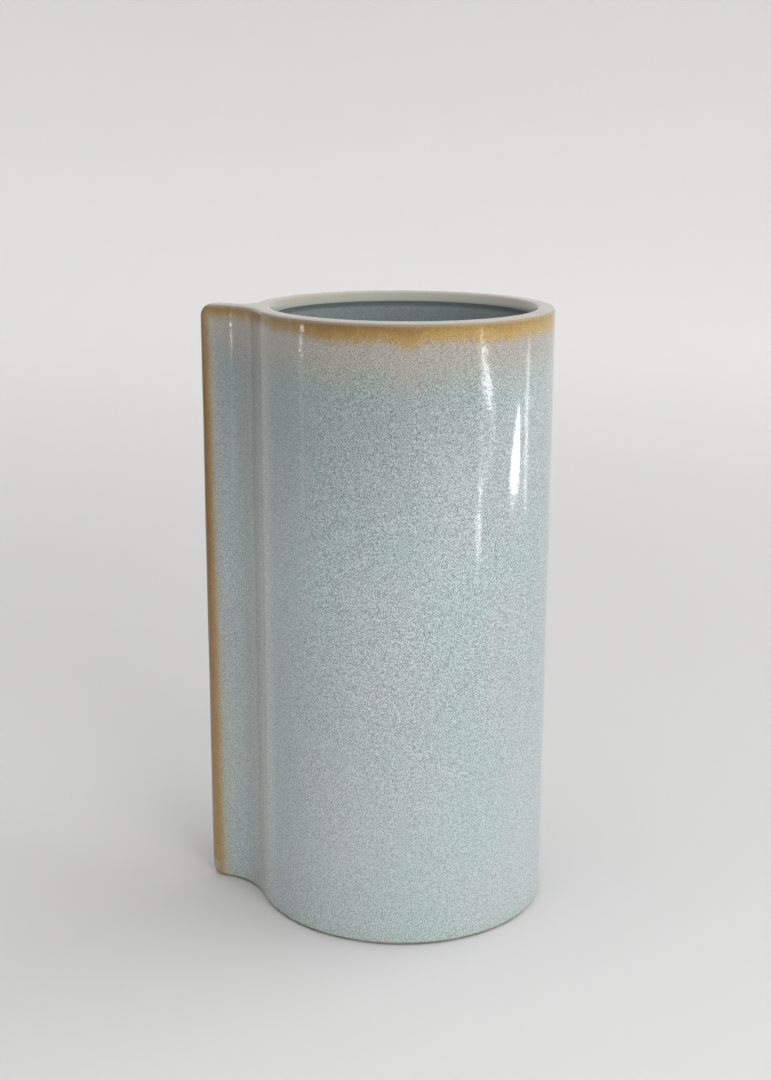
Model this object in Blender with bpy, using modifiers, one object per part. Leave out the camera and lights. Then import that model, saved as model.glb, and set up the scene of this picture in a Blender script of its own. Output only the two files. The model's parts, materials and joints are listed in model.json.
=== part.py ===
"""A tall slab-built stoneware pot for brushes, whose wall runs out into one vertical fin.

Metres, +Z up. The origin is on the pot's axis, in the plane that it stands on. The fin points
along -X, and the hollow bend between fin and wall faces -Y.
"""

from math import atan2, cos, pi, radians, sin, sqrt

import bmesh
import bpy
from mathutils import Matrix

HEIGHT = 0.200
OUTER_RADIUS = 0.0485
WALL = 0.0064  # clay and both coats of glaze
FLOOR = 0.0070  # likewise

BEND_RADIUS = 0.0230  # of the hollow front side of the bend
BEND_CENTRE_Y = -0.0205
FIN_REACH = 0.0657  # from the pot's axis to the fin's free edge
FIN_TOP_CORNER = 0.0043
FIN_FOOT_BEVEL = (0.0015, 0.0030)  # across, up
SEAM_RADIUS = 0.0040  # of the hollow behind the fin's root
FLOOR_CORNER = 0.0050

COAT = 0.0005  # thickness of the glaze
GAP = 0.0003  # left between pieces that touch
RIM_ROUND = 0.0010
FOOT_LINE = 0.0009  # where the outer glaze stops above the table

STEP = radians(5)  # along the arcs of the plan
TURNED_STEPS = 72
CORNER_STEP = radians(15)  # along the turned pieces' corner
CLEAR = 0.0100  # how far a cutter runs past what it cuts

INNER_RADIUS = OUTER_RADIUS - WALL
CLAY = COAT + GAP  # how far the clay lies under the glaze's surface


# ---------------------------------------------------------------- plan of the wall and fin


def arc(centre, radius, start, end, step=STEP):
    """Points along an arc from angle start to angle end, both ends included."""
    count = max(2, round(abs(end - start) / step))
    angles = [start + (end - start) * i / count for i in range(count + 1)]
    return [(centre[0] + radius * cos(a), centre[1] + radius * sin(a)) for a in angles]


def towards(centre, point):
    return atan2(point[1] - centre[1], point[0] - centre[0])


def meeting(first, first_radius, second, second_radius, side):
    """Where two circles meet: side 1 is left of the line from first to second, and -1 is right."""
    x, y = second[0] - first[0], second[1] - first[1]
    apart = sqrt(x * x + y * y)
    along = (apart**2 + first_radius**2 - second_radius**2) / (2 * apart)
    across = side * sqrt(first_radius**2 - along**2)
    return (
        first[0] + (along * x - across * y) / apart,
        first[1] + (along * y + across * x) / apart,
    )


AXIS = (0.0, 0.0)
BEND = (-sqrt((OUTER_RADIUS + BEND_RADIUS) ** 2 - BEND_CENTRE_Y**2), BEND_CENTRE_Y)
BACK_RADIUS = BEND_RADIUS + WALL  # of the back of the bend, about the same centre
SEAM = meeting(AXIS, OUTER_RADIUS + SEAM_RADIUS, BEND, BACK_RADIUS + SEAM_RADIUS, -1)

# The fin's end is a half round about a point on the middle line of the slab.
MIDDLE = BEND_RADIUS + WALL / 2
TIP_X = -FIN_REACH + WALL / 2
TIP_ANGLE = atan2(sqrt(MIDDLE**2 - (TIP_X - BEND[0]) ** 2), TIP_X - BEND[0])
TIP = (TIP_X, BEND[1] + MIDDLE * sin(TIP_ANGLE))

ROOT_ANGLE = towards(BEND, AXIS)  # where the bend runs into the wall, seen from the bend
TAIL_ANGLE = towards(AXIS, SEAM)  # where the slab's inner end stops, seen from the axis


def fin_end(inset):
    """The fin's half-round edge, from its front side to its back."""
    return arc(TIP, WALL / 2 - inset, TIP_ANGLE + pi, TIP_ANGLE)


def pot_outline(inset):
    """The whole pot seen from above, from the fin's edge round the front and back to it."""
    return (
        fin_end(inset)[::-1][:-1]
        + arc(BEND, BEND_RADIUS + inset, TIP_ANGLE, ROOT_ANGLE)[:-1]
        + arc(AXIS, OUTER_RADIUS - inset, ROOT_ANGLE - pi, TAIL_ANGLE)[:-1]
        + arc(SEAM, SEAM_RADIUS + inset, towards(SEAM, AXIS), towards(SEAM, BEND))[:-1]
        + arc(BEND, BACK_RADIUS - inset, towards(BEND, SEAM), TIP_ANGLE)[:-1]
    )


def slab_outline():
    """One strip of even thickness: the fin, the bend, then round the pot to the seam."""
    return (
        fin_end(CLAY)[::-1][:-1]
        + arc(BEND, BEND_RADIUS + CLAY, TIP_ANGLE, ROOT_ANGLE)[:-1]
        + arc(AXIS, OUTER_RADIUS - CLAY, ROOT_ANGLE - pi, TAIL_ANGLE)
        + arc(AXIS, INNER_RADIUS + CLAY, TAIL_ANGLE, ROOT_ANGLE - pi)[:-1]
        + arc(BEND, BACK_RADIUS - CLAY, ROOT_ANGLE, TIP_ANGLE)[:-1]
    )


def seam_outline():
    """The wedge between the slab's inner end, the back of the bend and the pot's inside."""
    inside, back, outside = INNER_RADIUS + CLAY, BACK_RADIUS - CLAY + GAP, SEAM_RADIUS + CLAY
    inner_end = meeting(AXIS, inside, BEND, back, -1)
    outer_end = meeting(SEAM, outside, BEND, back, 1)
    inner_start = TAIL_ANGLE + GAP / inside
    outer_start = towards(SEAM, AXIS) - GAP / outside
    return (
        arc(AXIS, inside, inner_start, towards(AXIS, inner_end) % (2 * pi))[:-1]
        + arc(BEND, back, towards(BEND, inner_end), towards(BEND, outer_end))[:-1]
        + arc(SEAM, outside, towards(SEAM, outer_end), outer_start)
    )


# ---------------------------------------------------------------- objects


def clear_scene():
    for thing in list(bpy.data.objects):
        bpy.data.objects.remove(thing, do_unlink=True)


def new_collection(name):
    collection = bpy.data.collections.new(name)
    bpy.context.scene.collection.children.link(collection)
    return collection


def material(name, colour, roughness):
    made = bpy.data.materials.new(name)
    made.use_nodes = True
    shader = made.node_tree.nodes["Principled BSDF"]
    shader.inputs["Base Color"].default_value = (*colour, 1)
    shader.inputs["Roughness"].default_value = roughness
    shader.inputs["Metallic"].default_value = 0
    made.diffuse_color = (*colour, 1)
    return made


def add(name, mesh, collection, finish=None):
    thing = bpy.data.objects.new(name, mesh)
    collection.objects.link(thing)
    if finish:
        mesh.materials.append(finish)
        mesh.shade_smooth()
        mesh.set_sharp_from_angle(angle=radians(30))
    else:
        thing.hide_render = True
        thing.display_type = "WIRE"
    return thing


def extruded(points, low, high, upright=True):
    """The mesh between heights low and high of a flat outline, or along Y if it isn't upright."""
    flat = bpy.data.curves.new("outline", "CURVE")
    flat.dimensions = "2D"
    flat.fill_mode = "BOTH"
    flat.extrude = (high - low) / 2
    spline = flat.splines.new("POLY")
    spline.points.add(len(points) - 1)
    spline.use_cyclic_u = True
    for point, (across, along) in zip(spline.points, points):
        point.co = (across, along, 0, 1)

    holder = bpy.data.objects.new("outline", flat)
    if upright:
        holder.location = (0, 0, (low + high) / 2)
    else:
        holder.location = (0, (low + high) / 2, 0)
        holder.rotation_euler = (pi / 2, 0, 0)
    bpy.context.scene.collection.objects.link(holder)
    bpy.context.view_layer.update()
    evaluated = holder.evaluated_get(bpy.context.evaluated_depsgraph_get())
    mesh = bpy.data.meshes.new_from_object(evaluated)
    mesh.transform(holder.matrix_world)
    bpy.data.objects.remove(holder, do_unlink=True)
    bpy.data.curves.remove(flat)

    bm = bmesh.new()
    bm.from_mesh(mesh)
    bmesh.ops.remove_doubles(bm, verts=bm.verts, dist=1e-6)
    bmesh.ops.dissolve_limit(bm, angle_limit=radians(0.1), verts=bm.verts, edges=bm.edges)
    bmesh.ops.recalc_face_normals(bm, faces=bm.faces)
    bm.to_mesh(mesh)
    bm.free()
    return mesh


def turned(name, profile, collection, finish):
    """A solid of revolution about the pot's axis. The profile's (radius, height) points are closed."""
    mesh = bpy.data.meshes.new(name)
    points = [(radius, 0, height) for radius, height in profile]
    edges = [(i, (i + 1) % len(points)) for i in range(len(points))]
    if profile[0][0] == 0 and profile[-1][0] == 0:
        edges.pop()
    mesh.from_pydata(points, edges, [])
    thing = add(name, mesh, collection, finish)
    screw = thing.modifiers.new("turn", "SCREW")
    screw.steps = screw.render_steps = TURNED_STEPS
    screw.use_merge_vertices = True
    screw.merge_threshold = 1e-5
    screw.use_smooth_shade = True
    return thing


def cut(thing, cutter):
    boolean = thing.modifiers.new(cutter.name, "BOOLEAN")
    boolean.operation = "DIFFERENCE"
    boolean.solver = "EXACT"
    boolean.object = cutter


def round_edges(thing, width):
    bevel = thing.modifiers.new("round", "BEVEL")
    bevel.width = width
    bevel.segments = 2
    bevel.limit_method = "ANGLE"
    bevel.angle_limit = radians(60)


# ---------------------------------------------------------------- cutters


def fin_cutters(inset, cutters):
    """What rounds the fin's top corner and bevels its foot, for a surface that lies inset deep."""
    edge, top, radius = -FIN_REACH + inset, HEIGHT - inset, FIN_TOP_CORNER - inset
    centre = (edge + radius, top - radius)
    corner = arc(centre, radius, pi, pi / 2)
    corner += [(centre[0], top + CLEAR), (edge - CLEAR, top + CLEAR), (edge - CLEAR, centre[1])]
    across, up = FIN_FOOT_BEVEL
    bevel = [(edge + 2 * across, -up), (edge - across, 2 * up), (edge - CLEAR, -up)]
    low, high = BEND_CENTRE_Y, TIP[1] + CLEAR
    return [
        add("cut_fin_corner", extruded(corner, low, high, upright=False), cutters),
        add("cut_fin_foot", extruded(bevel, low, high, upright=False), cutters),
    ]


def clay_space(cutters):
    """The room inside the outer glaze: the pot's outline, one coat deep."""
    mesh = extruded(pot_outline(COAT), -CLEAR, HEIGHT - COAT)
    space = add("cut_clay_space", mesh, cutters)
    round_edges(space, RIM_ROUND - COAT)
    for cutter in fin_cutters(COAT, cutters):
        cut(space, cutter)
    return space


def bore(cutters):
    outline = arc(AXIS, INNER_RADIUS, 0, 2 * pi)[:-1]
    return add("cut_bore", extruded(outline, -2 * CLEAR, HEIGHT + CLEAR), cutters)


def below_foot_line(cutters):
    bpy.ops.mesh.primitive_cube_add(size=1)
    block = bpy.context.active_object
    block.name = "cut_below_foot_line"
    block.data.transform(Matrix.Diagonal((4 * FIN_REACH, 4 * FIN_REACH, 4 * CLEAR, 1)))
    block.location = (0, 0, FOOT_LINE - 2 * CLEAR)
    for holder in block.users_collection:
        holder.objects.unlink(block)
    cutters.objects.link(block)
    block.hide_render = True
    block.display_type = "WIRE"
    return block


# ---------------------------------------------------------------- the pot's pieces


def wall_slab(parts, cutters, finish):
    mesh = extruded(slab_outline(), 0, HEIGHT - CLAY)
    slab = add("wall_slab", mesh, parts, finish)
    round_edges(slab, RIM_ROUND - CLAY)
    for cutter in fin_cutters(CLAY, cutters):
        cut(slab, cutter)


def wall_seam_coil(parts, finish):
    add("wall_seam_coil", extruded(seam_outline(), 0, HEIGHT - CLAY), parts, finish)


def base_slab(parts, finish):
    radius, thickness = INNER_RADIUS + COAT, FLOOR - CLAY
    bm = bmesh.new()
    bmesh.ops.create_cone(
        bm, cap_ends=True, segments=TURNED_STEPS, radius1=radius, radius2=radius, depth=thickness
    )
    bmesh.ops.translate(bm, verts=bm.verts, vec=(0, 0, thickness / 2))
    mesh = bpy.data.meshes.new("base_slab")
    bm.to_mesh(mesh)
    bm.free()
    add("base_slab", mesh, parts, finish)


def floor_seam_coil(parts, finish):
    """A ring with a hollow face, in the corner between wall_slab and base_slab."""
    centre = (INNER_RADIUS - FLOOR_CORNER, FLOOR + FLOOR_CORNER)
    hollow = FLOOR_CORNER + CLAY
    # The hollow face stops a gap short of the wall, and a gap above the floor.
    short = pi / 2 - atan2(FLOOR_CORNER + COAT, sqrt(hollow**2 - (FLOOR_CORNER + COAT) ** 2))
    face = arc(centre, hollow, -pi / 2 + short, -short, CORNER_STEP)
    corner = (face[-1][0], face[0][1])
    turned("floor_seam_coil", [face[-1], corner] + face[:-1], parts, finish)


def liner_glaze(parts, finish):
    """A thin cup. Its underside runs down the wall, round the corner and in to the axis."""
    centre = (INNER_RADIUS - FLOOR_CORNER, FLOOR + FLOOR_CORNER)
    top = HEIGHT - COAT - GAP
    under = arc(centre, FLOOR_CORNER + COAT, 0, -pi / 2, CORNER_STEP)
    upper = arc(centre, FLOOR_CORNER, -pi / 2, 0, CORNER_STEP)
    profile = [(INNER_RADIUS + COAT, top)] + under + [(0, FLOOR - COAT)]
    profile += [(0, FLOOR)] + upper + [(INNER_RADIUS, top)]
    turned("liner_glaze", profile, parts, finish)


def outer_glaze(parts, cutters, finish):
    """The coat over the outside and the rim. It stops at the foot line."""
    mesh = extruded(pot_outline(0), -CLEAR, HEIGHT)
    coat = add("outer_glaze", mesh, parts, finish)
    round_edges(coat, RIM_ROUND)
    for cutter in fin_cutters(0, cutters):
        cut(coat, cutter)
    cut(coat, clay_space(cutters))
    cut(coat, bore(cutters))
    cut(coat, below_foot_line(cutters))


def main():
    clear_scene()
    parts, cutters = new_collection("brush_holder_pot"), new_collection("cutters")
    clay = material("bare_stoneware", (0.30, 0.20, 0.13), 0.85)
    aqua = material("aqua_glaze", (0.42, 0.50, 0.50), 0.18)
    liner = material("liner_glaze", (0.36, 0.42, 0.43), 0.22)
    wall_slab(parts, cutters, clay)
    wall_seam_coil(parts, clay)
    base_slab(parts, clay)
    floor_seam_coil(parts, clay)
    outer_glaze(parts, cutters, aqua)
    liner_glaze(parts, liner)


main()
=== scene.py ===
"""The looks of the brush holder pot: its glaze, its bare foot, and a plain studio around it."""

import json
from math import atan2, cos, pi, radians, sin, sqrt

import bmesh
import bpy
from mathutils import Matrix, Vector, noise


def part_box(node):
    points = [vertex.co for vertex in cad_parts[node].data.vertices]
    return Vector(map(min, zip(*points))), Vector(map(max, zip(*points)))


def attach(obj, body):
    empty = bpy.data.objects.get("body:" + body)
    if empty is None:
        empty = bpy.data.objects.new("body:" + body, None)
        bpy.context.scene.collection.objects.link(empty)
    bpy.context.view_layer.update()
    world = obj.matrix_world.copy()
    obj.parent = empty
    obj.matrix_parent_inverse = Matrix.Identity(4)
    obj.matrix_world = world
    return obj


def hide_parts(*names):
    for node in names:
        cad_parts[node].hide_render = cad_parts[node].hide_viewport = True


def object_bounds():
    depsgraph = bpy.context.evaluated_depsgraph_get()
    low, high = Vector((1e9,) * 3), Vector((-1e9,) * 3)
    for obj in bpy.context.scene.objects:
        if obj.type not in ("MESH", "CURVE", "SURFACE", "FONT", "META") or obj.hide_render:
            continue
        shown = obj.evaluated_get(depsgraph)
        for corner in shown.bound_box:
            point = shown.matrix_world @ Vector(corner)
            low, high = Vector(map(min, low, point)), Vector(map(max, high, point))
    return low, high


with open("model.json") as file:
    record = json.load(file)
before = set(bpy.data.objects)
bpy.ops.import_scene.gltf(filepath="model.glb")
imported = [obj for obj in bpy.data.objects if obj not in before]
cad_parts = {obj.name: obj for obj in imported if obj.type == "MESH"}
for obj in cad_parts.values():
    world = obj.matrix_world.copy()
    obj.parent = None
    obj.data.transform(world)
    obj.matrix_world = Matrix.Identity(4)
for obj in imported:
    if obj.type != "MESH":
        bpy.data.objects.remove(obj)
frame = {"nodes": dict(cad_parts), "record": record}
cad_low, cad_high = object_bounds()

# ---------------------------------------------------------------- the pot's dimensions

HEIGHT = cad_high.z
OUTER_RADIUS = cad_high.x
FIN_REACH = -cad_low.x
FLOOR = frame["record"]["mounts"][1]["pos_m"][2]
COAT = 0.0005  # thickness of the glaze
INNER_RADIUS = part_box("liner_glaze")[1].x - COAT
WALL = OUTER_RADIUS - INNER_RADIUS
HALF = WALL / 2
FOOT_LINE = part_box("outer_glaze")[0].z  # height of the bare foot

BEND_RADIUS = 0.0230
BEND_CENTRE_Y = -0.0205
SEAM_RADIUS = 0.0040
FIN_TOP_CORNER = 0.0043
FIN_FOOT_BEVEL = (0.0015, 0.0030)  # across, up
FLOOR_CORNER = 0.0050

RIM_EDGE = 0.0011  # radius of the rim's outer edge
LIP = (0.0014, 0.0030)  # how far the rim's inner edge is rounded: across, down
DOME = 0.0002  # how far the rim's top falls from its middle to its edges
FOOT_ROLL = 0.0005  # radius of the glaze's lower edge
SWELL = 0.00028  # deepest hollow of the hand-made surface

CLAY_INSET = 0.0008  # how far the clay lies under the glaze's surface
CLAY_EDGE = 0.0005  # radius of the clay's edges at the foot

SPACING = 0.0011  # between the points of the fine meshes
CORNER_SPACING = 0.0005  # the same where the fin's corner turns
RIM_SPACING = 0.0006
LINER_SPACING = 0.0040
BASE_SPACING = 0.0060
WELD = 2e-6  # points nearer than this become one
SHARP = radians(50)  # an edge that turns more than this is not smoothed


# ---------------------------------------------------------------- plan of wall and fin


def towards(centre, point):
    return atan2(point[1] - centre[1], point[0] - centre[0])


def meeting(first, first_radius, second, second_radius):
    """Where two circles meet, on the right of the line from first to second."""
    x, y = second[0] - first[0], second[1] - first[1]
    apart = sqrt(x * x + y * y)
    along = (apart**2 + first_radius**2 - second_radius**2) / (2 * apart)
    across = -sqrt(first_radius**2 - along**2)
    return (
        first[0] + (along * x - across * y) / apart,
        first[1] + (along * y + across * x) / apart,
    )


AXIS = (0.0, 0.0)
BEND = (-sqrt((OUTER_RADIUS + BEND_RADIUS) ** 2 - BEND_CENTRE_Y**2), BEND_CENTRE_Y)
BACK_RADIUS = BEND_RADIUS + WALL
SEAM = meeting(AXIS, OUTER_RADIUS + SEAM_RADIUS, BEND, BACK_RADIUS + SEAM_RADIUS)
ROOT_ANGLE = towards(BEND, AXIS)
TAIL_ANGLE = towards(AXIS, SEAM)
FREE_ANGLE = towards(BEND, SEAM)  # beyond it the fin is free at its back too


def steps_along(radius, angle):
    return max(3, round(abs(radius * angle) / SPACING))


FREE_SPAN = radians(17)  # about the angle that the free stretch of the fin takes
END_STEPS = 14
FREE_STEPS = steps_along(BACK_RADIUS, FREE_SPAN)
BEND_STEPS = steps_along(BEND_RADIUS, FREE_ANGLE - ROOT_ANGLE)
WALL_STEPS = steps_along(OUTER_RADIUS, pi + TAIL_ANGLE - ROOT_ANGLE)
SEAM_STEPS = 10
WEDGE_STEPS = steps_along(INNER_RADIUS, pi + ROOT_ANGLE - TAIL_ANGLE)


def fin_tip(cut):
    """The centre of the fin's half-round edge, and its direction from the bend, with cut taken off."""
    x = -FIN_REACH + HALF + cut
    middle = BEND_RADIUS + HALF
    angle = atan2(sqrt(middle**2 - (x - BEND[0]) ** 2), x - BEND[0])
    return (x, BEND[1] + middle * sin(angle)), angle


def outside_spans(cut):
    """The arcs of the pot's outline, in order: centre, radius, side, angles and steps.

    Side is -1 where an inset makes the radius smaller, and 1 where it makes it larger.
    """
    tip, angle = fin_tip(cut)
    return [
        (tip, HALF, -1, angle, angle + pi, END_STEPS),
        (BEND, BEND_RADIUS, 1, angle, FREE_ANGLE, FREE_STEPS),
        (BEND, BEND_RADIUS, 1, FREE_ANGLE, ROOT_ANGLE, BEND_STEPS),
        (AXIS, OUTER_RADIUS, -1, ROOT_ANGLE - pi, TAIL_ANGLE, WALL_STEPS),
        (SEAM, SEAM_RADIUS, 1, towards(SEAM, AXIS), towards(SEAM, BEND), SEAM_STEPS),
        (BEND, BACK_RADIUS, -1, FREE_ANGLE, angle, FREE_STEPS),
    ]


def bore_spans():
    """The pot's inside, as a hole: an inset makes it wider. Its points match the outline's."""
    return [
        (AXIS, INNER_RADIUS, 1, ROOT_ANGLE - pi, TAIL_ANGLE, WALL_STEPS),
        (AXIS, INNER_RADIUS, 1, TAIL_ANGLE, ROOT_ANGLE + pi, WEDGE_STEPS),
    ]


def fin_cut(height):
    """How much of the fin's reach its rounded top corner and bevelled foot take at a height."""
    over = height - (HEIGHT - FIN_TOP_CORNER)
    if over > 0:
        return FIN_TOP_CORNER - sqrt(max(0, FIN_TOP_CORNER**2 - over**2))
    across, up = FIN_FOOT_BEVEL
    return max(0, across * (1 - height / up))


SWELL_PLACE = Vector((3.1, 7.4, 1.9))
BROAD_SWELL = (34, 0.55, 0.36)  # waves a metre, squash upwards, share of the depth
FINE_SWELL = (95, 0.70, 0.20)


def swell(x, y, z):
    """The unevenness of the glazed wall: how far its surface lies inside the true one."""
    depth = 0.5
    for waves, squash, share in (BROAD_SWELL, FINE_SWELL):
        depth += share * noise.noise(Vector((x, y, squash * z)) * waves + SWELL_PLACE)
    return SWELL * depth


def ring(spans, inset, height, uneven=0.0):
    """The points of an outline, moved inset into the wall."""
    points = []
    for centre, radius, side, start, end, steps in spans:
        for step in range(steps):
            angle = start + (end - start) * step / steps
            across, along = cos(angle), sin(angle)
            moved = radius + side * inset
            if uneven:
                at = (centre[0] + radius * across, centre[1] + radius * along, height)
                moved += side * uneven * swell(*at)
            points.append((centre[0] + moved * across, centre[1] + moved * along, height))
    return points


# ---------------------------------------------------------------- meshes


def spread(start, end, spacing):
    """Evenly spaced values from start to end, both included."""
    count = max(1, round(abs(end - start) / spacing))
    return [start + (end - start) * i / count for i in range(count + 1)]


def quarter(first, last, steps):
    """Angles from first to last degrees."""
    return [radians(first + (last - first) * i / steps) for i in range(steps + 1)]


def add_ring(bm, points):
    return [bm.verts.new(point) for point in points]


def add_circle(bm, radius, height, angles):
    return add_ring(bm, [(radius * cos(a), radius * sin(a), height) for a in angles])


def join_rings(bm, rings):
    """Quads between each ring and the next."""
    for low, high in zip(rings, rings[1:]):
        count = len(low)
        for i in range(count):
            after = (i + 1) % count
            bm.faces.new((low[i], low[after], high[after], high[i]))


def new_object(bm, name, material):
    """Turns the mesh into a smooth object in the scene."""
    mesh = bpy.data.meshes.new(name)
    bm.to_mesh(mesh)
    bm.free()
    mesh.materials.append(material)
    mesh.shade_smooth()
    made = bpy.data.objects.new(name, mesh)
    bpy.context.scene.collection.objects.link(made)
    return made


def finished(bm, name, material, slot, *nodes):
    """Welds and cleans the mesh, and hands it over as a piece in place of CAD nodes."""
    bmesh.ops.remove_doubles(bm, verts=bm.verts, dist=WELD)
    bmesh.ops.dissolve_degenerate(bm, dist=1e-7, edges=bm.edges)
    bmesh.ops.delete(bm, geom=[e for e in bm.edges if e.is_wire], context="EDGES")
    bmesh.ops.recalc_face_normals(bm, faces=bm.faces)
    piece = new_object(bm, name, material)
    piece.data.set_sharp_from_angle(angle=SHARP)
    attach(piece, "root")
    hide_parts(*nodes)


def domed(inset):
    """The height of the rim's slightly domed top."""
    return HEIGHT - DOME * (1 - inset / HALF) ** 2


def rim_top():
    """(inset, height, unevenness) from the wall over the outer edge to the rim's middle."""
    rows = []
    for angle in quarter(0, 90, 8):
        inset = RIM_EDGE * (1 - cos(angle))
        rows.append((inset, domed(inset) - RIM_EDGE * (1 - sin(angle)), 1 - inset / HALF))
    for inset in spread(RIM_EDGE, HALF, RIM_SPACING)[1:]:
        rows.append((inset, domed(inset), 1 - inset / HALF))
    return rows


def lip_rows():
    """(inset, height) from the rim's middle over the inner edge and down to the liner."""
    across, down = LIP
    rows = [(inset, domed(inset)) for inset in spread(HALF, across, RIM_SPACING)[:-1]]
    for angle in quarter(90, 0, 10):
        inset = across * (1 - cos(angle))
        rows.append((inset, domed(inset) - down * (1 - sin(angle))))
    return rows


LIP_END = HEIGHT - DOME - LIP[1]  # where the outer glaze hands over to the liner


def fill(bm, height):
    """Closes the openings whose edges all lie at one height."""
    level = [e for e in bm.edges if not e.link_faces or e.is_boundary]
    level = [e for e in level if all(abs(v.co.z - height) < 1e-6 for v in e.verts)]
    bmesh.ops.triangle_fill(bm, edges=level, use_beauty=True)


def glazed_outside(material):
    """The coat over wall, fin and rim: its surface, and its back against the clay."""
    bm = bmesh.new()
    over_edge = rim_top()
    corner = HEIGHT - FIN_TOP_CORNER
    rows = [(CLAY_INSET, FOOT_LINE, 0)]
    for angle in quarter(-90, 0, 5):
        inset = FOOT_ROLL * (1 - cos(angle))
        rows.append((inset, FOOT_LINE + FOOT_ROLL * (1 + sin(angle)), 1))
    rows += [(0, z, 1) for z in spread(FOOT_LINE + FOOT_ROLL, corner, SPACING)[1:]]
    rows += [(0, z, 1) for z in spread(corner, over_edge[0][1], CORNER_SPACING)[1:-1]]
    rows += over_edge
    rings = []
    for inset, height, uneven in rows:
        spans = outside_spans(fin_cut(height))
        rings.append(add_ring(bm, ring(spans, inset, height, uneven)))
    join_rings(bm, rings)

    lip = [add_ring(bm, ring(bore_spans(), inset, height)) for inset, height in lip_rows()]
    join_rings(bm, lip)
    # What is left open is the wedge where the fin's top meets the rim's.
    bmesh.ops.remove_doubles(bm, verts=bm.verts, dist=WELD)
    fill(bm, HEIGHT)

    # The back of the coat lies against the clay, and meets the surface at foot and lip.
    top = HEIGHT - DOME - COAT
    rows = [(CLAY_INSET, FOOT_LINE), (CLAY_INSET, top - RIM_EDGE), (CLAY_INSET + RIM_EDGE, top)]
    back = [add_ring(bm, ring(outside_spans(fin_cut(z)), inset, z)) for inset, z in rows]
    join_rings(bm, back)
    rows = [(0, LIP_END), (COAT, LIP_END), (LIP[0] + COAT, top)]
    lip_back = [add_ring(bm, ring(bore_spans(), inset, z)) for inset, z in rows]
    join_rings(bm, lip_back)
    fill(bm, top)
    finished(bm, "glazed_outside", material, "aqua_glaze", "outer_glaze")


def turned(name, profile, material, slot, *nodes):
    """A solid of revolution about the pot's axis, from a closed line of (radius, height)."""
    bm = bmesh.new()
    steps = WALL_STEPS + WEDGE_STEPS
    angles = [ROOT_ANGLE - pi + 2 * pi * i / steps for i in range(steps)]
    rings = [add_circle(bm, radius, height, angles) for radius, height in profile]
    join_rings(bm, rings + rings[:1])
    finished(bm, name, material, slot, *nodes)


def glazed_liner(material):
    """The coat inside: a thin cup whose wall starts under the lip."""
    corner = (INNER_RADIUS - FLOOR_CORNER, FLOOR + FLOOR_CORNER)
    surface = [(INNER_RADIUS, z) for z in spread(LIP_END, corner[1], LINER_SPACING)[:-1]]
    under = []
    for angle in quarter(0, -90, 12):
        for line, radius in ((surface, FLOOR_CORNER), (under, FLOOR_CORNER + COAT)):
            line.append((corner[0] + radius * cos(angle), corner[1] + radius * sin(angle)))
    surface += [(r, FLOOR) for r in spread(corner[0], 0, LINER_SPACING)[1:]]
    profile = [(INNER_RADIUS + COAT, LIP_END)] + surface + [(0, FLOOR - COAT)] + under[::-1]
    turned("glazed_liner", profile, material, "liner_glaze", "liner_glaze")


def clay_rows(top, inset):
    """(inset, height) up a clay wall from its foot, whose edge is rounded."""
    rows = [(inset + 2 * CLAY_EDGE, 0)]
    for angle in quarter(-90, 0, 4):
        rows.append((inset + CLAY_EDGE * (1 - cos(angle)), CLAY_EDGE * (1 + sin(angle))))
    return rows + [(inset, top)]


def clay_wall(material):
    """One strip: the fin, the bend, and round the pot to the seam behind the fin."""
    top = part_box("wall_slab")[1].z - CLAY_EDGE
    bm = bmesh.new()
    rings = []
    for inset, height in clay_rows(top, CLAY_INSET):
        angle = fin_tip(fin_cut(height))[1]
        spans = outside_spans(fin_cut(height))[:4] + [
            (AXIS, INNER_RADIUS, 1, TAIL_ANGLE, ROOT_ANGLE - pi, WALL_STEPS),
            (BEND, BACK_RADIUS, -1, ROOT_ANGLE, angle, FREE_STEPS + BEND_STEPS),
        ]
        rings.append(add_ring(bm, ring(spans, inset, height)))
    join_rings(bm, rings)
    fill(bm, 0)
    fill(bm, top)
    finished(bm, "clay_wall", material, "bare_stoneware", "wall_slab")


def clay_base(material):
    """The floor under the liner, with its edge rounded at the foot."""
    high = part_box("base_slab")[1]
    edge = [(high.x - inset, height) for inset, height in clay_rows(high.z, 0)]
    under = [(r, 0) for r in spread(0, edge[0][0], BASE_SPACING)[1:-1]]
    profile = [(0, high.z), (0, 0)] + under + edge
    turned("clay_base", profile, material, "bare_stoneware", "base_slab")


# ---------------------------------------------------------------- shader nodes


def node(tree, kind, inputs=None, **settings):
    """A shader node. Each input is a value or the socket that feeds it."""
    made = tree.nodes.new("ShaderNode" + kind)
    for name, value in settings.items():
        setattr(made, name, value)
    for name, value in (inputs or {}).items():
        if isinstance(value, bpy.types.NodeSocket):
            tree.links.new(value, made.inputs[name])
        else:
            made.inputs[name].default_value = value
    return made


def calc(tree, operation, *values):
    return node(tree, "Math", dict(enumerate(values)), operation=operation).outputs[0]


def plus(tree, first, second):
    return calc(tree, "ADD", first, second)


def minus(tree, first, second):
    return calc(tree, "SUBTRACT", first, second)


def times(tree, first, second):
    return calc(tree, "MULTIPLY", first, second)


def larger(tree, first, second):
    return calc(tree, "MAXIMUM", first, second)


def without_height(tree, place):
    return node(tree, "VectorMath", {0: place, 1: (1, 1, 0)}, operation="MULTIPLY").outputs[0]


def distance_to(tree, place, spot):
    return node(tree, "VectorMath", {0: place, 1: spot}, operation="DISTANCE").outputs["Value"]


def length(tree, place):
    return node(tree, "VectorMath", {0: place}, operation="LENGTH").outputs["Value"]


def fade(tree, value, start, end):
    """0 where value is start, 1 where it is end, and a smooth step between."""
    inputs = {"Value": value, "From Min": start, "From Max": end}
    return node(tree, "MapRange", inputs, interpolation_type="SMOOTHSTEP").outputs[0]


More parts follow.
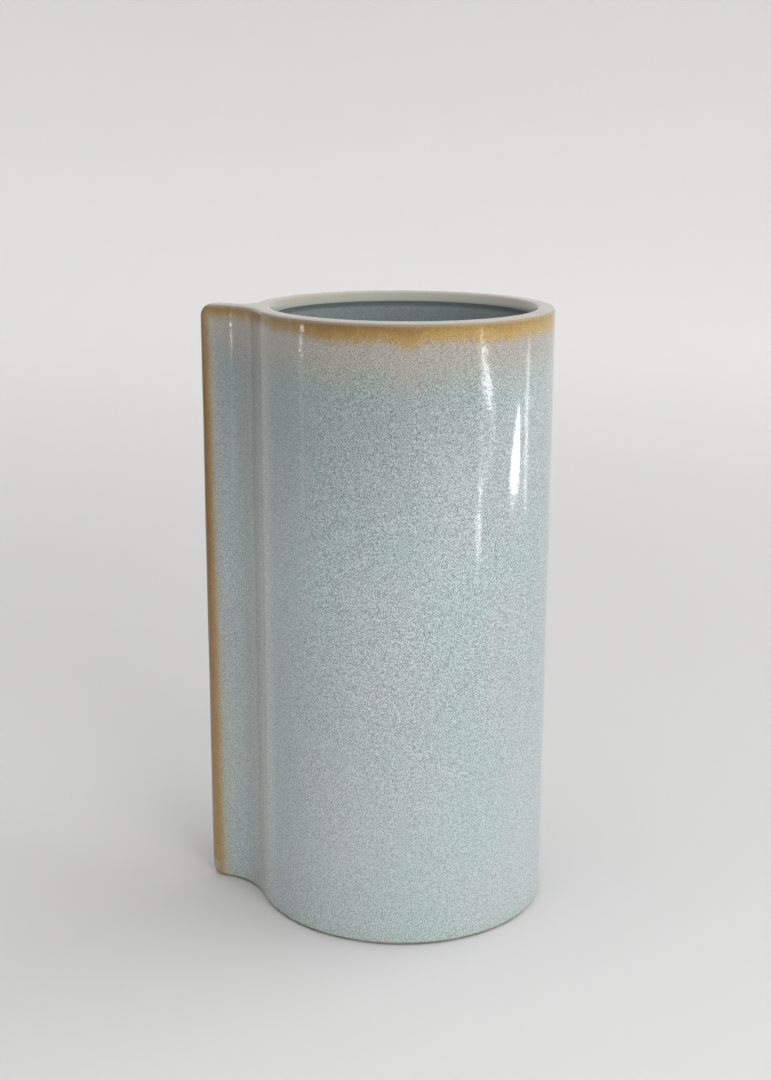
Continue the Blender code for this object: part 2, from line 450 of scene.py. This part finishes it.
def blend(tree, part, first, second, how="MIX"):
    """The first colour where part is 0, and the second where it is 1."""
    inputs = {"Fac": part, "Color1": first, "Color2": second}
    return node(tree, "MixRGB", inputs, blend_type=how).outputs[0]


def shaded(tree, colour, factor):
    return blend(tree, 1.0, colour, factor, "MULTIPLY")


def cells(tree, place, scale, detail=2.0, stretch=(1, 1, 1), shift=(0, 0, 0)):
    """Noise from 0 to 1, with scale features a metre."""
    mapped = node(tree, "Mapping", {"Vector": place, "Scale": stretch, "Location": shift})
    inputs = {"Vector": mapped.outputs[0], "Scale": scale, "Detail": detail}
    return node(tree, "TexNoise", inputs).outputs["Fac"]


def new_material(name, **shader_values):
    """A material, its tree, its shader and the object's own coordinates.

    Each value is named after the shader's socket, with _ for a space.
    """
    made = bpy.data.materials.new(name)
    made.use_nodes = True
    tree = made.node_tree
    shader = tree.nodes["Principled BSDF"]
    for socket, value in shader_values.items():
        shader.inputs[socket.replace("_", " ")].default_value = value
    place = node(tree, "TexCoord").outputs["Object"]
    return made, tree, shader, place


def bump(tree, shader, height, distance):
    made = node(tree, "Bump", {"Height": height, "Distance": distance})
    tree.links.new(made.outputs[0], shader.inputs["Normal"])


# ---------------------------------------------------------------- glaze and clay

# Colours in even light, and a few painted shades and reflections, as their comments say. The name says
# where each one shows.
AQUA = (0.302, 0.372, 0.366, 1)
MAUVE = (0.342, 0.370, 0.372, 1)
THIN_MAUVE = (0.300, 0.265, 0.230, 1)  # just below the amber
BROWN = (0.130, 0.060, 0.010, 1)
AMBER = (0.215, 0.120, 0.022, 1)
# GOLD shows in the amber's mottle, and on the right as painted light.
GOLD = (0.370, 0.252, 0.075, 1)
# Pale on the rim's top and outer edge: a painted reflection.
RIM_PAINTED_REFLECTION = (0.420, 0.400, 0.350, 1)
FOOT_AMBER = (0.350, 0.230, 0.115, 1)  # on the fin's edge, low down
FOOT_OLIVE = (0.350, 0.335, 0.235, 1)  # beside it
FOOT_GREEN = (0.265, 0.345, 0.285, 1)
BEND_SHADE_GREY = (0.300, 0.305, 0.300, 1)  # painted shade in the hollow of the bend
BEND_REFLECTION_PALE = (0.430, 0.440, 0.425, 1)  # painted reflection where the bend meets the round wall
LIP_BEIGE = (0.380, 0.355, 0.280, 1)
LIP_BLUE = (0.380, 0.400, 0.375, 1)
LIP_SHADE_LINE = (0.095, 0.110, 0.100, 1)
INSIDE_SHADED = (0.192, 0.219, 0.224, 1)
CHIP_PALE = (0.300, 0.310, 0.235, 1)
WHITE = (1, 1, 1, 1)
CLAY = (0.300, 0.240, 0.195, 1)
CLAY_DARK = (0.200, 0.158, 0.125, 1)
GRIT = (0.080, 0.050, 0.035, 1)

# Where the warm tones start and are full: below the rim, and in from the fin's edge.
WARM = ((0.0250, 0.0070), (0.0070, 0.0030))
THIN = ((0.0082, 0.0034), (0.0040, 0.0014))
RUSTY = ((0.0042, 0.0010), (0.0018, 0.0006))

# Two upright bands at the bend, a painted shade and a painted reflection: where their left and right
# sides start and are full.
BEND_SHADE_BAND = ((-0.0540, -0.0505), (-0.0455, -0.0475))
BEND_REFLECTION_BAND = ((-0.0474, -0.0455), (-0.0400, -0.0435))

# Fades up or down the pot, by height above the ground.
RIM_HALF = (0.105, 0.190)
FOOT_HALF = (0.100, 0.020)
CALM_FOOT = (0.120, 0.020)
GREEN_FOOT = (0.0065, 0.0015)
RIM_DARKENING = 0.30  # share of its tone that the glaze loses towards the rim
RIGHT_PAINTED_LIGHT = 0.24  # how much less it loses on the right: painted light from the window on the right
FOOT_LIGHTENING = 0.09  # share that it gains towards the foot

NET = 3700  # speckles a metre
SPECKLE = 0.76  # how strongly they show
CALMER = 0.30  # how much less they show on the fin and low down
RUN_SHIFT = (0.15, 0.62, 0.31)
WAVES = 0.0040  # how far the amber's edge wanders under the rim
RAGS = 0.0026  # how far its fine runs reach
EDGE_RAGS = 0.0010  # the same on the fin's edge
FIN_LESS = 0.0020  # how much less far the amber comes down on the fin
EDGE_WIDENING = 0.007  # how much wider the fin's amber edge is for each metre down
DRIPS = (  # where the amber runs further down: direction round the pot, half width, depth
    (-90, 0.0080, 0.0010),
    (-87, 0.0034, 0.0010),
    (38, 0.0090, 0.0020),
    (128, 0.0070, 0.0024),
)

FIN_EDGE = fin_tip(0)[0]
CHIP = (FIN_EDGE[0] - 0.7 * HALF, FIN_EDGE[1] - 0.7 * HALF, 0.0038)  # a pale bead of glaze
CHIP_SIZE = (0.0026, 0.0006)  # how far from it the bead ends, and is full


def clouded(tree, place):
    """The glaze where it is thick: soft aqua and mauve clouds."""
    clouds = cells(tree, place, 30, 3.0, stretch=(1, 1, 0.7), shift=(0.3, 0.1, 0.2))
    return blend(tree, fade(tree, clouds, 0.25, 0.75), AQUA, MAUVE)


def speckles(tree, place, amount):
    """The fine pale net of the glaze, as a factor about 1, and the net's own pattern."""
    net = cells(tree, place, NET, 0.0, stretch=(1, 1, 0.66))
    mark = minus(tree, fade(tree, net, 0.36, 0.64), 0.5)
    patchy = cells(tree, place, 110, 2.0, shift=(0.7, 0.2, 0.4))
    contrast = plus(tree, times(tree, patchy, 0.6), 0.7)
    contrast = times(tree, contrast, amount)
    return plus(tree, times(tree, mark, contrast), 1.0), net


def drips(tree, place):
    """How much further down the amber reaches at its few drips."""
    around = without_height(tree, place)
    total = 0.0
    for direction, half_width, depth in DRIPS:
        turn = radians(direction)
        spot = (OUTER_RADIUS * cos(turn), OUTER_RADIUS * sin(turn), 0)
        close = fade(tree, distance_to(tree, around, spot), half_width, 0)
        total = plus(tree, times(tree, close, depth), total)
    return total


class Zones:
    """Where a point of the outer glaze lies on the pot, as sockets."""

    def __init__(self, tree, place):
        self.tree = tree
        self.across, _, self.height = node(tree, "SeparateXYZ", {"Vector": place}).outputs
        self.below = minus(tree, HEIGHT, self.height)
        # Towards the pot's right: carries painted light from the window on the right.
        self.right = fade(tree, self.across, -0.045, 0.045)
        self.on_fin = fade(tree, self.across, -0.022, -0.040)
        self.low_fin = times(tree, self.on_fin, fade(tree, self.below, 0.040, 0.190))
        self.fine = minus(tree, cells(tree, place, 300, 3.0, stretch=(1, 1, 0.35)), 0.5)
        self.from_rim = minus(tree, self.below, self.runs(place))
        ragged = minus(tree, FIN_REACH, times(tree, self.fine, EDGE_RAGS))
        widening = times(tree, self.below, EDGE_WIDENING)
        self.from_edge = minus(tree, plus(tree, self.across, ragged), widening)

    def runs(self, place):
        """How much further down the amber reaches: waves, fine runs and drips."""
        tree = self.tree
        waves = minus(tree, cells(tree, place, 45, 2.0, shift=RUN_SHIFT), 0.5)
        runs = plus(tree, times(tree, waves, WAVES), times(tree, self.fine, RAGS))
        runs = plus(tree, runs, drips(tree, place))
        return minus(tree, runs, times(tree, self.on_fin, FIN_LESS))

    def near(self, rim, edge):
        """1 near the rim or the fin's edge; each pair is where it starts and is full."""
        by_rim = fade(self.tree, self.from_rim, *rim)
        return larger(self.tree, by_rim, fade(self.tree, self.from_edge, *edge))

    def band(self, left, right):
        """1 in an upright band; each pair is where that side starts and is full."""
        by_left = fade(self.tree, self.across, *left)
        return times(self.tree, by_left, fade(self.tree, self.across, *right))


def darker_towards_rim(tree, zones):
    """A factor: darker towards the rim and lighter at the foot; the darkening is less on the right,
    which is painted light.
    """
    # Less darkening on the right: painted light from the window.
    painted_light_right = times(tree, fade(tree, zones.across, 0, 0.046), RIGHT_PAINTED_LIGHT)
    # Darker towards the rim, and lighter towards the foot.
    thin = times(tree, fade(tree, zones.height, *RIM_HALF), minus(tree, RIM_DARKENING, painted_light_right))
    lighter_low = times(tree, fade(tree, zones.height, *FOOT_HALF), FOOT_LIGHTENING)
    return minus(tree, plus(tree, lighter_low, 1.0), thin)


def aqua_body(tree, place, zones):
    """The thick glaze, with a painted shade and a painted reflection in bands at the bend, and its
    green foot.
    """
    colour = clouded(tree, place)
    # Painted shade in the bend's hollow, then a painted reflection beside it.
    colour = blend(tree, times(tree, zones.band(*BEND_SHADE_BAND), 0.55), colour, BEND_SHADE_GREY)
    colour = blend(tree, times(tree, zones.band(*BEND_REFLECTION_BAND), 0.45), colour, BEND_REFLECTION_PALE)
    green = times(tree, fade(tree, zones.height, *GREEN_FOOT), 0.35)
    colour = blend(tree, green, colour, FOOT_GREEN)
    return shaded(tree, colour, darker_towards_rim(tree, zones))


def honey(tree, place, zones):
    """The thin glaze: golden in its mottle and on the right, brown at its edges, and paler low on the
    fin. The gold on the right and the weaker brown there are painted light.
    """
    mottle = cells(tree, place, 500, 3.0, stretch=(1, 1, 0.5), shift=(0.1, 0.3, 0.6))
    # Gold where the mottle is high, and towards the right as painted light.
    gold_mottle_and_painted_light = plus(tree, times(tree, zones.right, 0.8), times(tree, mottle, 0.7))
    colour = blend(tree, minus(tree, gold_mottle_and_painted_light, 0.30), AMBER, GOLD)
    # The brown edge is weaker on the right: painted light.
    brown_edge_and_painted_light = minus(tree, 0.80, times(tree, zones.right, 0.5))
    colour = blend(tree, times(tree, brown_edge_and_painted_light, zones.near(*RUSTY)), colour, BROWN)
    return blend(tree, times(tree, zones.low_fin, 0.75), colour, FOOT_AMBER)


def in_the_bore(tree, place):
    """1 inside the lip's outer side, 0 outside it."""
    radius = length(tree, without_height(tree, place))
    return calc(tree, "LESS_THAN", radius, INNER_RADIUS + LIP[0])


def rim_and_lip(tree, place, zones, colour):
    """The rim's top painted pale as a reflection, and the lip inside it, beige above and blue below.
    """
    # The rim's rounded edge and flat top are painted pale: a painted reflection.
    edge = fade(tree, zones.below, 0.0016, 0.0004)
    colour = blend(tree, times(tree, edge, 0.35), colour, RIM_PAINTED_REFLECTION)
    colour = blend(tree, fade(tree, zones.below, 0.00060, 0.00015), colour, RIM_PAINTED_REFLECTION)
    lip = blend(tree, fade(tree, zones.below, 0.0006, 0.0026), LIP_BEIGE, LIP_BLUE)
    inner = times(tree, in_the_bore(tree, place), fade(tree, zones.below, 0.0001, 0.0005))
    return blend(tree, inner, colour, lip)


def outside_material():
    """Aqua glaze that breaks to amber where it runs thin: under the rim and on the fin's edge."""
    made, tree, shader, place = new_material("aqua_over_amber", IOR=1.5)
    zones = Zones(tree, place)
    calm = larger(tree, zones.on_fin, fade(tree, zones.height, *CALM_FOOT))
    marks, net = speckles(tree, place, minus(tree, SPECKLE, times(tree, calm, CALMER)))

    colour = aqua_body(tree, place, zones)
    warm = zones.near(*WARM)
    between = blend(tree, zones.low_fin, THIN_MAUVE, FOOT_OLIVE)
    soft = blend(tree, plus(tree, times(tree, net, 0.4), 0.05), between, colour)
    colour = blend(tree, warm, colour, soft)
    thin = zones.near(*THIN)
    colour = blend(tree, times(tree, thin, 0.96), colour, honey(tree, place, zones))
    even = larger(tree, times(tree, thin, 0.6), times(tree, warm, 0.35))
    colour = shaded(tree, colour, blend(tree, even, marks, WHITE))
    colour = rim_and_lip(tree, place, zones, colour)
    away = plus(tree, distance_to(tree, place, CHIP), times(tree, zones.fine, 0.0030))
    colour = blend(tree, fade(tree, away, *CHIP_SIZE), colour, CHIP_PALE)
    tree.links.new(colour, shader.inputs["Base Color"])

    peel = cells(tree, place, 330, 2.0, shift=(0.4, 0.4, 0))
    gloss = node(tree, "MapRange", {"Value": peel, "To Min": 0.06, "To Max": 0.15})
    tree.links.new(gloss.outputs[0], shader.inputs["Roughness"])
    bump(tree, shader, plus(tree, peel, times(tree, net, 0.10)), 0.00006)
    return made


def liner_material():
    """The same glaze inside, painted darker as shade, with a dark line of painted shade under the lip.
    """
    made, tree, shader, place = new_material("grey_aqua_liner", Roughness=0.24, IOR=1.5)
    height = node(tree, "SeparateXYZ", {"Vector": place}).outputs[2]
    marks, _ = speckles(tree, place, 0.3)
    # Mostly a darker grey: painted shade inside the pot.
    colour = blend(tree, 0.75, clouded(tree, place), INSIDE_SHADED)
    colour = shaded(tree, colour, marks)
    # A dark line just under the lip: painted shade.
    shade_line = fade(tree, minus(tree, LIP_END, height), 0.0024, 0.0009)
    colour = blend(tree, times(tree, shade_line, 0.85), colour, LIP_SHADE_LINE)
    tree.links.new(colour, shader.inputs["Base Color"])
    bump(tree, shader, cells(tree, place, 260, 2.0), 0.00008)
    return made


def clay_material():
    """Bare fired stoneware: warm, matt and gritty."""
    made, tree, shader, place = new_material("fired_stoneware", Roughness=0.9, IOR=1.45)
    tone = cells(tree, place, 90, 4.0)
    colour = blend(tree, fade(tree, tone, 0.35, 0.65), CLAY, CLAY_DARK)
    grit = cells(tree, place, 1600, 2.0)
    colour = blend(tree, fade(tree, grit, 0.62, 0.74), colour, GRIT)
    tree.links.new(colour, shader.inputs["Base Color"])
    bump(tree, shader, plus(tree, grit, tone), 0.00012)
    return made


# ---------------------------------------------------------------- studio

FLAT_REACH = 1.3  # radius of the floor's flat part
CURVE = 0.7  # radius of the curve between floor and wall
WALL_TOP = 2.2
ROUND_STEPS = 128
PAPER_NEAR = (0.640, 0.638, 0.638, 1)
PAPER_FAR = (0.840, 0.838, 0.835, 1)
PAPER_LEFT_SHADE = (0.300, 0.300, 0.300, 1)
PAPER_CLOUD = (0.720, 0.720, 0.730, 1)


def backdrop_material():
    """Matt pale paper, a little darker by the pot and paler far off, and darker on the left: painted
    shade and light on even paper.
    """
    made, tree, shader, place = new_material("backdrop", Roughness=0.9, Specular_IOR_Level=0.1)
    reach = length(tree, place)
    # Darker near the pot and paler far off: painted shade and light on the paper.
    paint = blend(tree, fade(tree, reach, 0.15, 1.5), PAPER_NEAR, PAPER_FAR)
    across = node(tree, "SeparateXYZ", {"Vector": place}).outputs[0]
    # Darker on the left: painted shade.
    left_shade = times(tree, fade(tree, across, 0.8, -0.8), 0.22)
    paint = blend(tree, left_shade, paint, PAPER_LEFT_SHADE)
    clouds = cells(tree, place, 6, 2.0)
    paint = blend(tree, times(tree, clouds, 0.05), paint, PAPER_CLOUD)
    tree.links.new(paint, shader.inputs["Base Color"])
    return made


def backdrop():
    """A pale floor that curves up into a wall all the way round, so no view has a horizon."""
    profile = [(0, 0)] + [(r, 0) for r in spread(0.05, FLAT_REACH, 0.25)]
    for angle in quarter(-90, 0, 18):
        profile.append((FLAT_REACH + CURVE * cos(angle), CURVE * (1 + sin(angle))))
    profile.append((FLAT_REACH + CURVE, WALL_TOP))
    bm = bmesh.new()
    angles = [2 * pi * i / ROUND_STEPS for i in range(ROUND_STEPS)]
    join_rings(bm, [add_circle(bm, radius, height, angles) for radius, height in profile])
    bmesh.ops.remove_doubles(bm, verts=bm.verts, dist=1e-5)
    bmesh.ops.recalc_face_normals(bm, faces=bm.faces)
    bmesh.ops.reverse_faces(bm, faces=bm.faces)
    thing = new_object(bm, "backdrop", backdrop_material())
    thing.visible_shadow = False  # the window's light comes through the wall


def facing(thing, azimuth, elevation, distance, target):
    """Places a light so that it faces target. Azimuth 0 is the camera's side, 90 the right."""
    turn, rise = radians(azimuth), radians(elevation)
    way = Vector((sin(turn) * cos(rise), -cos(turn) * cos(rise), sin(rise)))
    thing.location = Vector(target) + way * distance
    thing.rotation_euler = way.to_track_quat("Z", "Y").to_euler()
    bpy.context.scene.collection.objects.link(thing)


def sunlight(name, azimuth, elevation, angle, strength):
    """Very soft light from one side of the room, the same everywhere. It makes no highlight."""
    light = bpy.data.lights.new(name, "SUN")
    light.energy = strength
    light.angle = radians(angle)
    thing = bpy.data.objects.new(name, light)
    thing.visible_glossy = False
    facing(thing, azimuth, elevation, 2, (0, 0, 0))


def softbox(name, azimuth, elevation, distance, side, watts):
    """Soft light from nearby that fades across the room. It makes no highlight."""
    light = bpy.data.lights.new(name, "AREA")
    light.size = side
    light.energy = watts
    thing = bpy.data.objects.new(name, light)
    thing.visible_camera = False
    thing.visible_glossy = False
    facing(thing, azimuth, elevation, distance, (0, 0, HEIGHT / 2))


STREAKS_AWAY = 0.35  # from the pot's axis
STREAKS = (  # name, lower and upper end as (azimuth, height), width, watts a square metre
    # A wavy line, as from the edge of a curtain.
    ("curtain_top", (57, 0.144), (54, 0.160), 0.004, 60),
    ("curtain_fold", (64, 0.125), (57, 0.144), 0.003, 190),
    ("curtain_bulge", (68, 0.106), (64, 0.125), 0.004, 40),
    ("curtain_return", (59, 0.085), (68, 0.106), 0.003, 34),
    ("curtain_side", (57, 0.085), (57, 0.144), 0.004, 36),
    ("curtain_foot", (55, 0.045), (57, 0.085), 0.005, 95),
    # A wedge that widens downwards, with a faint band behind it.
    ("wedge_back", (91, 0.080), (91, 0.116), 0.007, 170),
    ("wedge_middle", (88, 0.080), (90.5, 0.106), 0.016, 150),
    ("wedge_front", (84, 0.078), (88.5, 0.096), 0.016, 110),
    ("edge", (101, 0.066), (101, 0.148), 0.012, 26),
    # On the left, a short mark on the wall and a soft line in the bend.
    ("left_mark", (-77, 0.150), (-77, 0.157), 0.005, 150),
    ("bend_line", (-77, 0.065), (-77, 0.150), 0.004, 9),
)


def streak(name, low, high, width, brightness):
    """A narrow light beside the pot that shows only as a streak in the gloss."""
    sideways = 2 * STREAKS_AWAY * sin(radians(high[0] - low[0]) / 2)
    upwards = high[1] - low[1]
    light = bpy.data.lights.new(name, "AREA")
    light.shape = "RECTANGLE"
    light.size = width
    light.size_y = sqrt(sideways**2 + upwards**2)
    light.energy = brightness * light.size * light.size_y
    thing = bpy.data.objects.new(name, light)
    thing.visible_camera = False
    thing.visible_diffuse = False
    facing(thing, (low[0] + high[0]) / 2, 0, STREAKS_AWAY, (0, 0, (low[1] + high[1]) / 2))
    thing.rotation_euler.rotate_axis("Z", atan2(-sideways, upwards))


def lights():
    """An even room, a window on the right, a softer fill in front, and the streaks."""
    world = bpy.data.worlds.new("room")
    world.use_nodes = True
    sky = world.node_tree.nodes["Background"]
    sky.inputs["Color"].default_value = (1.0, 0.995, 0.985, 1)
    sky.inputs["Strength"].default_value = 0.90
    bpy.context.scene.world = world
    sunlight("window", azimuth=100, elevation=40, angle=60, strength=1.15)
    softbox("fill", azimuth=30, elevation=15, distance=0.9, side=0.5, watts=4.9)
    for values in STREAKS:
        streak(*values)


CAMERA_PLACE = (-0.0055, -0.5295, 0.2579)
CAMERA_PITCH = 14.36  # degrees below level
CAMERA_ROLL = 0.219
CAMERA_LENS = 54.96  # mm, on a sensor of 36 mm


def camera():
    """Looks slightly down at the pot from 0.53 m in front of it."""
    data = bpy.data.cameras.new("camera")
    data.lens = CAMERA_LENS
    data.sensor_width = 36
    data.clip_start = 0.01
    data.clip_end = 20
    thing = bpy.data.objects.new("camera", data)
    place = Matrix.Translation(CAMERA_PLACE)
    pitch = Matrix.Rotation(radians(90 - CAMERA_PITCH), 4, "X")
    roll = Matrix.Rotation(radians(CAMERA_ROLL), 4, "Z")
    thing.matrix_world = place @ pitch @ roll
    bpy.context.scene.collection.objects.link(thing)
    bpy.context.scene.camera = thing


def main():
    camera()
    clay = clay_material()
    glazed_outside(outside_material())
    glazed_liner(liner_material())
    clay_wall(clay)
    clay_base(clay)
    for name in ("wall_seam_coil", "floor_seam_coil"):
        for slot in frame["nodes"][name].material_slots:
            slot.material = clay
    backdrop()
    lights()
    bpy.context.scene.view_settings.view_transform = "Standard"


main()
